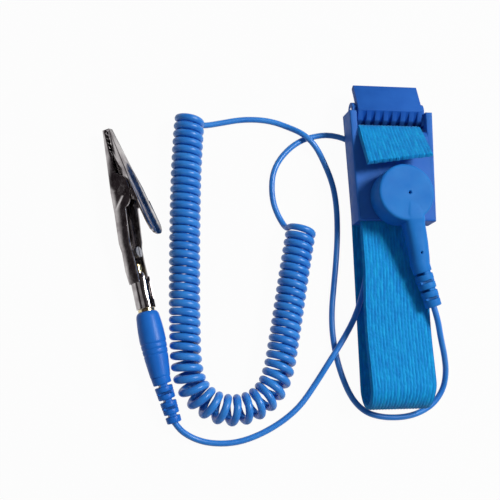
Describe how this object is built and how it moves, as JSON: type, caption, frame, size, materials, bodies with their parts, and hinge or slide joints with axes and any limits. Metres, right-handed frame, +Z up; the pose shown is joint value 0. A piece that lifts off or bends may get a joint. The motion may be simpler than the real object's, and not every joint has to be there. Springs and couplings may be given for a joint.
{
  "type": "esd wrist strap",
  "caption": "Elastic wrist band with a clamping buckle, a snap cap and a curly earth cord that ends in a plug with a crocodile clip.",
  "frame": {"origin": "on the table under the middle of the strap, without its cord", "axes": "+X across the band, +Y along the band to the clasp, +Z up from the table"},
  "size_m": [0.0979, 0.1031, 0.02],
  "materials": {
    "band_knit": "ribbed elastic knit",
    "buckle_blue": "satin moulded",
    "cap_blue": "soft satin",
    "grip_blue": "soft satin",
    "cord_blue": "smooth polyurethane",
    "steel": "stainless",
    "nickel": "nickel plated",
    "brass_pin": "nickel flashed brass",
    "copper": "tinned copper",
    "resistor_paint": "lacquered",
    "hard_insert": "moulded"
  },
  "bodies": {
    "strap": {"elastic_band": "band_knit", "buckle_frame": "buckle_blue", "anchor_pin": "steel", "clasp_pin": "steel", "skin_plate": "steel", "snap_stud": "nickel", "stud_rivet": "nickel", "cord_to_snap": "cord_blue", "curly_cord": "cord_blue", "cord_to_plug": "cord_blue", "plug_relief": "grip_blue", "plug_grip": "grip_blue", "plug_wire": "copper", "banana_pin": "brass_pin"},
    "lever": {"clasp_lever": "buckle_blue"},
    "snap_spring": {"snap_ring": "steel"},
    "cap": {"snap_socket": "nickel", "cap_insert": "hard_insert", "cap_rivet": "brass_pin", "snap_cap": "cap_blue", "resistor_body": "resistor_paint", "resistor_leads": "copper", "snap_relief": "cap_blue", "cord_lead": "cord_blue"},
    "plug_sleeve": {"banana_spring": "nickel"},
    "clip": {"clip_body": "nickel", "clip_pivot": "nickel", "clip_spring": "steel", "terminal_screw": "steel"},
    "jaw": {"clip_jaw": "nickel"}
  },
  "joints": [
    {"name": "clasp_hinge", "type": "hinge", "parent": "strap", "child": "lever", "pos_m": [0, 0.0393, 0.007], "axis": [1, 0, 0], "range_deg": [0, 100]},
    {"name": "cap_lift", "type": "slide", "parent": "strap", "child": "snap_spring", "axis": [0, 0, 1], "range_m": [0, 0.012], "deforming": ["cord_to_snap"]},
    {"name": "cap_swivel", "type": "hinge", "parent": "snap_spring", "child": "cap", "pos_m": [0, 0.0119, 0.0129], "axis": [0, 0, 1], "range_deg": [0, 90], "deforming": ["cord_lead"]},
    {"name": "clip_twist", "type": "hinge", "parent": "strap", "child": "plug_sleeve", "pos_m": [-0.07228, -0.01311, 0.0041], "axis": [-0.1891, 0.982, 0], "continuous": true},
    {"name": "clip_slide", "type": "slide", "parent": "plug_sleeve", "child": "clip", "axis": [-0.1891, 0.982, 0], "range_m": [0, 0.016]},
    {"name": "jaw_hinge", "type": "hinge", "parent": "clip", "child": "jaw", "pos_m": [-0.07578, 0.01422, 0.00545], "axis": [0.6046, 0.1164, -0.788], "range_deg": [0, 25], "stiffness_Nm_per_rad": 0.02, "springref_deg": -22.92, "deforming": ["clip_spring"]}
  ]
}
